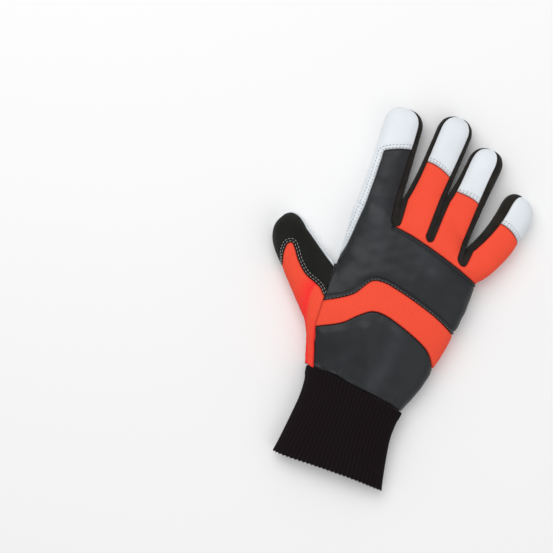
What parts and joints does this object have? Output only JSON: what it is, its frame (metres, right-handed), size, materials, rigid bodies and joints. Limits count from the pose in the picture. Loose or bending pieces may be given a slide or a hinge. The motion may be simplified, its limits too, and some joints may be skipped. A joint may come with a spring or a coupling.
{
  "type": "chainsaw glove",
  "caption": "Right-hand chainsaw glove lying palm down: leather palm with a quilted pad, cloth and leather back with an orange chevron, leather fingertips, long knitted cuff.",
  "frame": {"origin": "on the resting surface, below the middle of the glove's box", "axes": "+Y from the cuff to the fingertips, +X towards the little finger, +Z out of the back of the hand, away from the surface that the palm lies on"},
  "size_m": [0.1798, 0.283, 0.028],
  "materials": {
    "white_leather": "soft sheen",
    "dark_leather": "satin",
    "dark_suede": "napped",
    "orange_cloth": "fine ribs",
    "side_cloth": "matt",
    "knit": "ribbed knit"
  },
  "bodies": {
    "root": {"palm_leather": "white_leather", "palm_pad": "white_leather", "thumb_palm": "white_leather", "middle_cap": "white_leather", "ring_cap": "white_leather", "little_cap": "white_leather", "upper_patch": "dark_leather", "lower_patch": "dark_leather", "thumb_back": "dark_suede", "orange_band": "orange_cloth", "finger_backs": "orange_cloth", "thumb_gusset": "orange_cloth", "index_middle_fourchette": "side_cloth", "middle_ring_fourchette": "side_cloth", "ring_little_fourchette": "side_cloth", "knit_cuff": "knit"}
  },
  "joints": []
}
